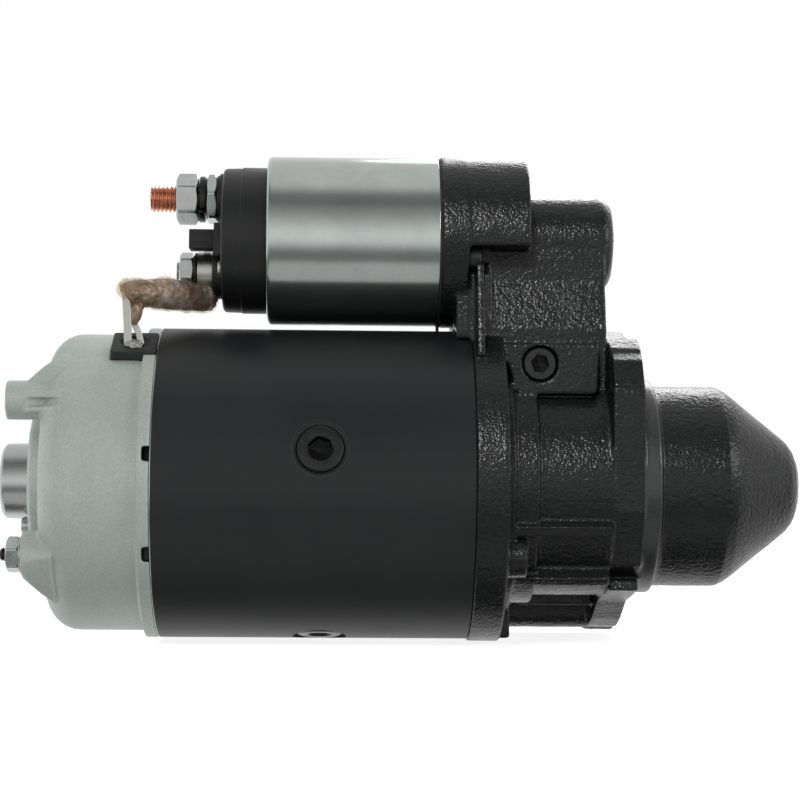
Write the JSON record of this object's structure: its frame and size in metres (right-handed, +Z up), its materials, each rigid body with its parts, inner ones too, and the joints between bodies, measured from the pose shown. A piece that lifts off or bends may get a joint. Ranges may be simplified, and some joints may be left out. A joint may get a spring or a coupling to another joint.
{
  "type": "starter motor",
  "caption": "Engine starter motor with a cylindrical pole housing, a cast flanged drive housing with a nose, a sliding overrunning pinion and a solenoid mounted on top.",
  "frame": {"origin": "on the shaft axis, in the plane of the flange's mounting face, which is also the centre of the pilot's root", "axes": "+X along the shaft towards the nose, +Z up from the shaft to the solenoid, +Y to the side of the two flange ears"},
  "size_m": [0.2972, 0.1188, 0.1813],
  "materials": {
    "cast_black": "glossy black paint over rough sand casting",
    "satin_black": "satin black paint on a turned steel tube",
    "cast_alloy": "fine as-cast satin",
    "drawn_steel": "drawn and zinc plated, bright",
    "zinc_case": "bright zinc plate",
    "zinc_fastener": "zinc plated",
    "tinned": "tinned, dull bright",
    "black_fastener": "black oxide",
    "black_moulding": "thermoset moulding, low gloss",
    "bright_steel": "pressed steel",
    "carbon": "copper-graphite",
    "copper": "bright copper",
    "enamelled_wire": "varnished copper wire",
    "braided_lead": "copper braid in a varnished sleeve",
    "black_rubber": "matt moulded rubber",
    "bronze": "sintered bronze",
    "dark_steel": "dark steel",
    "spring_steel": "drawn wire",
    "machined_steel": "machined"
  },
  "bodies": {
    "root": {"pole_housing": "satin_black", "pole_screws": "black_fastener", "pole_shoes": "dark_steel", "field_coils": "enamelled_wire", "commutator_end_cover": "cast_alloy", "rear_bearing_cap": "drawn_steel", "bearing_cap_screws": "zinc_fastener", "rear_bush": "bronze", "through_bolts": "black_fastener", "through_bolt_nuts": "zinc_fastener", "brush_plate": "bright_steel", "brush_holders": "bright_steel", "brushes": "carbon", "brush_springs": "spring_steel", "middle_bearing_plate": "cast_alloy", "middle_bush": "bronze", "drive_end_housing": "cast_black", "nose_bush": "bronze", "lever_pivot_bolt": "black_fastener", "solenoid_case": "zinc_case", "solenoid_base_plate": "machined_steel", "solenoid_bobbin": "black_moulding", "solenoid_winding": "enamelled_wire", "solenoid_core": "machined_steel", "solenoid_seal_ring": "black_rubber", "solenoid_screws": "black_fastener", "switch_cap": "black_moulding", "battery_stud": "copper", "motor_stud": "copper", "terminal_nuts": "zinc_fastener", "terminal_washers": "black_fastener", "control_blade": "tinned", "cap_rivet": "tinned", "motor_lead_lug": "tinned", "motor_lead": "braided_lead", "lead_strips": "tinned", "lead_grommet": "black_rubber", "return_spring": "spring_steel", "contact_spring": "spring_steel"},
    "armature": {"armature_shaft": "machined_steel", "armature_core": "dark_steel", "armature_windings": "enamelled_wire", "commutator": "copper", "shaft_clips": "machined_steel", "thrust_washer": "machined_steel", "pinion_stop_ring": "machined_steel"},
    "drive": {"clutch_shell": "machined_steel", "clutch_rollers": "machined_steel", "clutch_roller_springs": "spring_steel", "clutch_cover_ring": "machined_steel", "drive_snap_ring": "machined_steel", "meshing_spring": "spring_steel"},
    "pinion_gear": {"pinion": "machined_steel", "pinion_bush": "bronze"},
    "guide": {"guide_ring": "black_moulding"},
    "lever": {"engagement_lever": "dark_steel"},
    "solenoid_plunger": {"plunger": "machined_steel", "plunger_pin": "machined_steel"},
    "contact": {"contact_bridge": "copper", "contact_rod": "machined_steel"}
  },
  "joints": [
    {"name": "armature_spin", "type": "hinge", "parent": "root", "child": "armature", "pos_m": [0, 0, 0], "axis": [1, 0, 0], "continuous": true},
    {"name": "plunger_slide", "type": "slide", "parent": "root", "child": "solenoid_plunger", "axis": [-1, 0, 0], "range_m": [0, 0.014], "stiffness_N_per_m": 800, "springref_m": -0.01, "deforming": ["return_spring"]},
    {"name": "lever_swing", "type": "hinge", "parent": "root", "child": "lever", "pos_m": [-0.037, 0, 0.044], "axis": [0, -1, 0], "range_deg": [0, 16.95]},
    {"name": "guide_slide", "type": "slide", "parent": "root", "child": "guide", "axis": [1, 0, 0], "range_m": [0, 0.0131]},
    {"name": "drive_slide", "type": "slide", "parent": "armature", "child": "drive", "axis": [1, 0, 0], "range_m": [0, 0.0131]},
    {"name": "pinion_spin", "type": "hinge", "parent": "drive", "child": "pinion_gear", "pos_m": [0, 0, 0], "axis": [1, 0, 0], "continuous": true},
    {"name": "contact_slide", "type": "slide", "parent": "root", "child": "contact", "axis": [-1, 0, 0], "range_m": [0, 0.00215], "deforming": ["contact_spring"]}
  ],
  "couplings": [
    {"joint": "lever_swing", "follows": "plunger_slide", "rad_per_m": 21.12},
    {"joint": "guide_slide", "follows": "plunger_slide", "ratio": 0.9357},
    {"joint": "drive_slide", "follows": "plunger_slide", "ratio": 0.9357},
    {"joint": "contact_slide", "follows": "plunger_slide", "ratio": 0.15357}
  ]
}
